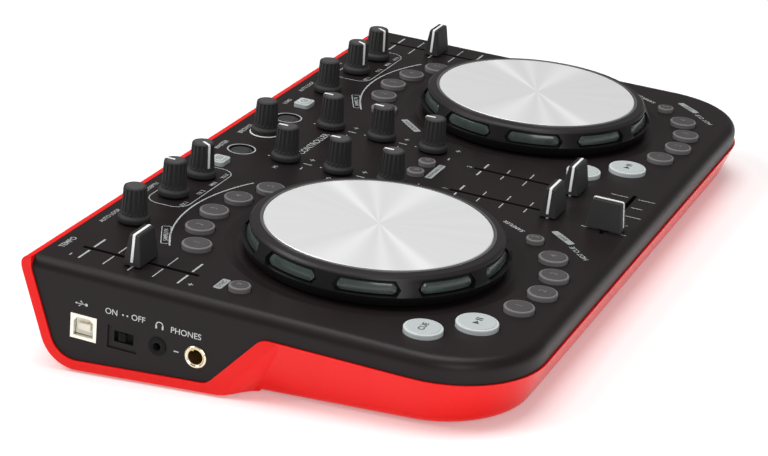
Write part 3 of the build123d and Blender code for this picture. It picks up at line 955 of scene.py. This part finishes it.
class CONTROLLER_OT_deck_print(bpy.types.Operator):
    """Print the lines, scales, labels and words on the deck"""

    bl_idname = "controller.deck_print"
    bl_label = "Deck Print"

    def execute(self, context):
        sizes = context.scene.controller_sizes
        colours = context.scene.controller_colours
        white = stock("deck_ink", ink_finish, tuple(colours.ink))
        light = stock("label_grey", ink_finish, (0.30, 0.32, 0.32))
        stroke = sizes.stroke / MM
        letter = sizes.letter / MM
        place = spot(0, 0, PRINT_Z)
        put(joined("fader_scales", self.scales(stroke)), place, CASE, white)
        put(joined("deck_lines", self.lines(stroke)), place, CASE, white)
        put(joined("deck_words", self.words(letter)), place, CASE, white)
        put(joined("deck_labels", self.labels()), place, CASE, light)
        dark = stock("label_ink", ink_finish, (0.04, 0.04, 0.042))
        above = spot(0, 0, 2 * PRINT_Z)
        put(joined("label_words", self.label_words(letter)), above, CASE, dark)
        return {"FINISHED"}

    def scales(self, stroke):
        """Ticks on both sides of every fader, with a minus and a plus at the ends of the tempo scales."""
        marks = []
        for side in SIDES.values():
            for at, tick in enumerate(FADER_TICKS):
                bold = stroke * (1.7 if at in (0, 4) else 1.0)
                reach = 4.6 if at % 2 else 6.0
                for across in (-1, 1):
                    x = side * CHANNEL_X + across * (2.2 + reach / 2)
                    marks.append(sheet("mark", 9.4, bold, side * TEMPO_X + across * 6.6, TEMPO_Y + tick))
                    marks.append(sheet("mark", reach, bold, x, CHANNEL_MIDDLE_Y + tick))
        for at, tick in enumerate(FADER_TICKS):
            reach = 8.0 if at % 2 == 0 else 5.4
            for across in (-1, 1):
                marks.append(sheet("mark", stroke, reach, tick, CROSS_Y + across * (2.4 + reach / 2)))
        for side in SIDES.values():
            x, low, high = side * TEMPO_X - 9.5, TEMPO_Y - 27.5, TEMPO_Y + 27.0
            marks += [sheet("mark", 2.2, 0.5, x, high), sheet("mark", 2.2, 0.5, x, low)]
            marks.append(sheet("mark", 0.5, 2.2, x, low))
        return marks

    def lines(self, stroke):
        """Arcs over the jog wheels, boxes round the effects, and the marks beside the equaliser knobs."""
        marks = []
        for side in SIDES.values():
            x = side * JOG_X
            marks.append(moved(ring_print("arc", 86.4, 0.7, 61.0, 119.5), x, 0))
            marks.append(moved(outline("effects_box", 53.0, 19.5, 7.0, 0.4), x + 21.4, 98.0))
            marks.append(moved(outline("sample_box", 19.0, 4.2, 0.8, 0.35), x - 33.8, 81.4, 26))
            marks.append(printed("SAMPLE FX", 2.1, x - 33.8, 81.4, 26))
        for side in SIDES.values():
            x = side * EQ_X
            marks.append(moved(ring_print("ring", 6.4, 0.6), x, BACK_ROW_Y))
            for y in EQ_ROWS:
                marks += [sheet("dash", 2.6, 0.55, x + across * 6.2, y - 10.6) for across in (-1, 1)]
                marks.append(sheet("dash", 0.55, 2.6, x + 6.2, y - 10.6))
                marks.append(sheet("dash", 0.8, 0.8, x, y + 8.6))
            marks += [sheet("dash", 0.7, 4.0, x, y - 11.0) for y in EQ_ROWS[:2]]
        return marks

    def words(self, letter):
        """Names of the knobs, faders and pads, and the numbers of the channels."""
        marks = []
        small = letter * 0.85
        for word, side in SIDES.items():
            jog = side * JOG_X
            for words, x, y in (
                ("AUTO LOOP", jog - 28.7, 110.8),
                ("LEVEL/DEPTH", jog + 7.7, 111.6),
                ("SELECT", jog + 34.4, 111.6),
                ("FX 1", jog + 1.0, 90.6),
                ("FX 2", jog + 17.0, 90.6),
                ("MIN", jog + 29.0, 90.6),
                ("MAX", jog + 40.5, 90.6),
                ("LOAD", side * 46.8, 109.4),
            ):
                marks.append(printed(words, small, x, y))
            marks.append(printed("TEMPO", letter * 1.1, side * 164.6, 111.2))
            marks.append(printed("SAMPLER", letter, jog + 60.6, -40.0, 58))
            marks.append(printed("HOT CUE", letter, jog + 47.8, -74.2, 44))
            for words, y in zip(("HI", "MID", "LOW"), EQ_ROWS):
                marks.append(printed(words, small, side * (EQ_X + 11.5), y))
            marks.append(printed({"left": "1", "right": "2"}[word], letter, side * CHANNEL_X, 2.0))
        for words, x in (("MASTER", -EQ_X), ("PHONES", EQ_X), ("BROWSE", 0)):
            marks.append(printed(words, letter, x, 109.6))
        marks.append(printed("CONTROLLER", letter * 1.45, 0.5, 74.4))
        return marks

    def strips(self):
        """Every label: its word, the scale of its letters, its size, and where it lies."""
        strips = []
        for side in SIDES.values():
            strips.append(("SCRATCH", 0.8, 17.0, 3.6, side * 51.4, 45.8, side * 45))
            strips.append(("SHIFT", 0.8, 15.0, 3.4, side * JOG_X + 60.4, -62.7, 49))
            strips.append(("SYNC", 0.8, 10.0, 3.6, side * 167.0, 39.6, 0))
        return strips + [("HEADPHONES CUE", 0.6, 19.0, 3.4, 0.5, 13.2, 0)]

    def labels(self):
        return [
            moved(plate_of("label", wide, deep, 0.8, 0), x, y, turn)
            for _, _, wide, deep, x, y, turn in self.strips()
        ]

    def label_words(self, letter):
        return [
            printed(words, letter * scale, x, y, turn)
            for words, scale, _, _, x, y, turn in self.strips()
        ]


class CONTROLLER_OT_side_panel(bpy.types.Operator):
    """Print the signs over the sockets and trim the sockets themselves"""

    bl_idname = "controller.side_panel"
    bl_label = "Side Panel"

    def execute(self, context):
        colours = context.scene.controller_colours
        white = stock("panel_ink", ink_finish, shade(tuple(colours.ink), 1.35))
        nickel = stock("jack_nickel", metal_finish, (0.80, 0.74, 0.58), 0.16)
        black = stock("switch_black", black_plastic, SWITCH_BLACK)
        gold = stock("contact_gold", metal_finish, (0.90, 0.66, 0.28), 0.18)
        for sign, y, z in (
            (lettering("switch_words", "ON      OFF", 2.9), SWITCH_Y - 0.5, -15.4),
            (self.switch_dots(), SWITCH_Y - 0.5, -15.4),
            (lettering("phones_words", "PHONES", 2.9), 45.4, -16.4),
            (self.phones_sign(), MINI_Y - 0.6, -15.9),
            (self.usb_sign(), 92.6, -15.3),
            (sheet("jack_dash", 2.2, 0.5), 49.2, SOCKET_Z),
        ):
            put(sign, wall_spot(y, z, PRINT_Z), CASE, white)
        ivory = stock("usb_ivory", black_plastic, (0.84, 0.80, 0.70))
        for piece, y, z, finish in (
            (self.ring("jack_collar", 4.75, 3.6, 0.75), JACK_Y, SOCKET_Z, nickel),
            (self.ring("mini_collar", 3.95, 1.85, 0.7), MINI_Y, SOCKET_Z, black),
            (self.contacts(), USB_Y, SOCKET_Z - 0.4, gold),
            (self.usb_core(), USB_Y, SOCKET_Z - 0.4, ivory),
            (self.jack_contact(), JACK_Y, SOCKET_Z, gold),
        ):
            put(piece, wall_spot(y, z), CASE, finish)
        ridges = [box("ridge", (0.35, 3.0, 0.3), (at * 0.75, 0, 0)) for at in (-1, 0, 1)]
        grip = rounded(joined("switch_ridges", ridges), 0.08, 1)
        place = wall_spot(SWITCH_Y + 1.0, SOCKET_Z - 0.6, -0.85)
        put(grip, place, "power_switch_knob", black)
        for name, words, x, z in (
            ("output_word_left", "L", 9.0, -13.2),
            ("output_word_right", "R", -9.0, -13.2),
            ("output_words", "MASTER OUT", 0, -9.0),
        ):
            put(lettering(name, words, 3.2), back_spot(x, z, PRINT_Z), CASE, white)
        return {"FINISHED"}

    def ring(self, name, outer, inner, high):
        """A low collar with both of its edges chamfered."""
        edge, shoulder = 0.35, high * 0.6
        outside = ((inner, 0.0), (outer, 0.0), (outer, shoulder), (outer - edge, high))
        ring = turned(name, (*outside, (inner + edge, high), (inner, shoulder)), 64)

        def lid(middle, normal):
            return abs(normal.z) > 0.9 and Vector((middle.x, middle.y)).length < 0.5

        cut_out(ring, lid)
        return smooth(outward(ring), 40)

    def switch_dots(self):
        return joined("switch_dots", [sheet("dot", 0.7, 0.7, at) for at in (-1.0, 1.0)])

    def jack_contact(self):
        return rounded(box("jack_contact", (1.5, 0.5, 9.0), (-2.4, 1.6, -6.0)), 0.15)

    def phones_sign(self):
        """A headband over two ear cups."""
        band = ring_print("band", 1.55, 0.4, 0.0, 180.0)
        cups = [sheet("cup", 0.75, 1.5, side * 1.45, -0.75) for side in (-1, 1)]
        return joined("phones_sign", [band] + cups)

    def usb_sign(self):
        """A trident lying on its side."""
        marks = [sheet("stem", 4.2, 0.26), moved(ring_print("ball", 0.35, 0.6), 2.2, 0)]
        marks.append(moved(sheet("arm", 1.5, 0.24), 0.5, 0.45, -38))
        marks.append(moved(sheet("arm", 1.5, 0.24), -0.3, -0.45, 38))
        marks.append(moved(disc("tip", 0.55, 0, 3), -2.4, 0, 90))
        marks.append(sheet("square", 0.55, 0.55, -1.0, -0.95))
        marks.append(moved(ring_print("dot", 0.2, 0.35), -0.2, 1.0))
        return joined("usb_sign", marks)

    def usb_core(self):
        """The pale insulator round the tongue, with its stepped floor."""
        floor = box("usb_core", (8.5, 7.8, 0.6), (0, 0, -2.2))
        pick(floor, lambda middle, normal: normal.z > 0.9)
        bpy.ops.mesh.inset(thickness=0.7 * MM, depth=-0.35 * MM)
        leave()
        front = box("tongue_front", (5.5, 3.0, 0.5), (0, 0, -0.9))
        return rounded(joined("usb_core", [floor, front]), 0.12, 1)

    def contacts(self):
        """Four strips on the tongue of the USB socket."""
        places = [(at * 1.25, side * 1.66, -4.6) for at in (-1, 1) for side in (-1, 1)]
        strips = [box("strip", (0.9, 0.14, 6.0), place) for place in places]
        return rounded(joined("usb_contacts", strips), 0.04, 1)


class CONTROLLER_OT_underside(bpy.types.Operator):
    """Set the case screws in the tub's bosses"""

    bl_idname = "controller.underside"
    bl_label = "Underside"

    def execute(self, context):
        steel = stock("screw_steel", metal_finish, (0.30, 0.30, 0.31), 0.25)
        screw = self.screw()
        for at, (x, y) in enumerate(SCREWS):
            point = spot(x, y, -37.0).translation
            place = Matrix.Translation((point.x, point.y, CAD_BOX[0].z + 1.25 * MM))
            put(copied(screw, f"case_screw_{at + 1}"), place, CASE, steel)
        drop(screw)
        return {"FINISHED"}

    def screw(self):
        """A pan head with a cross recess, seen from below."""
        profile = ((1.2, 2.0), (1.2, 0.5), (2.2, 0.5), (2.2, 0.05), (1.7, -0.25), (0.9, -0.35))
        head = rounded(turned("screw", profile, 32), 0.06, 1)
        slots = [box("slot", size, (0, 0, -0.36)) for size in ((1.9, 0.34, 0.1), (0.34, 1.9, 0.1))]
        return joined("screw", [head] + slots)


class CONTROLLER_OT_stage(bpy.types.Operator):
    """Set up the pale floor, the soft studio light and the camera"""

    bl_idname = "controller.stage"
    bl_label = "Stage"

    def execute(self, context):
        studio = context.scene.controller_studio
        floor = sheet("studio_floor", FLOOR_SIZE, FLOOR_SIZE)
        floor.data.materials.append(floor_finish())
        self.sky(studio.sky)
        self.lamp("key_light", (-0.55, 1.15, 1.25), 0.9, 15.0)
        self.lamp("front_light", (-1.3, -0.9, 0.7), 0.8, 8.0)
        self.lamp("top_light", (0.1, 0.0, 1.9), 1.3, 26.0)
        self.camera(context, studio)
        context.scene.view_settings.view_transform = "Standard"
        return {"FINISHED"}

    def sky(self, strength):
        """White surroundings to the camera, and a dimmer light on the object."""
        world = bpy.data.worlds.new("studio")
        world.use_nodes = True
        background = world.node_tree.nodes["Background"]
        background.inputs["Color"].default_value = (1, 1, 1, 1)
        seen = world.node_tree.nodes.new("ShaderNodeLightPath")
        glow = world.node_tree.nodes.new("ShaderNodeMath")
        glow.operation = "MAXIMUM"
        glow.inputs[1].default_value = strength
        world.node_tree.links.new(seen.outputs["Is Camera Ray"], glow.inputs[0])
        world.node_tree.links.new(glow.outputs[0], background.inputs["Strength"])
        bpy.context.scene.world = world

    def lamp(self, name, place, size, power):
        deselect()
        bpy.ops.object.light_add(type="AREA", location=place)
        lamp = bpy.context.object
        lamp.name = name
        lamp.data.size = size
        lamp.data.energy = power
        lamp.rotation_euler = (-Vector(place)).to_track_quat("-Z", "Y").to_euler()

    def camera(self, context, studio):
        target = DECK @ Vector((-75.5 * MM, 7.17 * MM, 0))
        flat = math.cos(studio.elevation)
        around = (math.sin(studio.azimuth) * flat, -math.cos(studio.azimuth) * flat)
        away = Vector((*around, math.sin(studio.elevation)))
        deselect()
        bpy.ops.object.camera_add(location=target + away * studio.distance)
        camera = context.object
        camera.name = "camera"
        camera.data.lens = studio.lens
        camera.data.sensor_width = 36.0
        camera.rotation_euler = (-away).to_track_quat("-Z", "Y").to_euler()
        context.scene.camera = camera


OPERATORS = (
    CONTROLLER_OT_case,
    CONTROLLER_OT_jog_wheels,
    CONTROLLER_OT_knobs,
    CONTROLLER_OT_fader_caps,
    CONTROLLER_OT_buttons,
    CONTROLLER_OT_deck_print,
    CONTROLLER_OT_side_panel,
    CONTROLLER_OT_underside,
    CONTROLLER_OT_stage,
)


class CONTROLLER_PT_panel(bpy.types.Panel):
    """Lists the sizes and colours, and a button for each group of pieces"""

    bl_idname = "CONTROLLER_PT_panel"
    bl_label = "Two Deck Controller"
    bl_space_type = "VIEW_3D"
    bl_region_type = "UI"
    bl_category = "Controller"

    def draw(self, context):
        scene = context.scene
        for group in (scene.controller_colours, scene.controller_sizes, scene.controller_studio):
            for name in group.__annotations__:
                self.layout.prop(group, name)
        for operator in OPERATORS:
            self.layout.operator(operator.bl_idname)


GROUPS = (
    ("controller_colours", ControllerColours),
    ("controller_sizes", ControllerSizes),
    ("controller_studio", ControllerStudio),
)


def register():
    for name, group in GROUPS:
        bpy.utils.register_class(group)
        setattr(bpy.types.Scene, name, PointerProperty(type=group))
    for kind in (*OPERATORS, CONTROLLER_PT_panel):
        bpy.utils.register_class(kind)


def unregister():
    for kind in (CONTROLLER_PT_panel, *reversed(OPERATORS)):
        bpy.utils.unregister_class(kind)
    for name, group in reversed(GROUPS):
        delattr(bpy.types.Scene, name)
        bpy.utils.unregister_class(group)


def main():
    register()
    for operator in OPERATORS:
        group, name = operator.bl_idname.split(".")
        getattr(getattr(bpy.ops, group), name)()


if __name__ == "__main__":
    main()
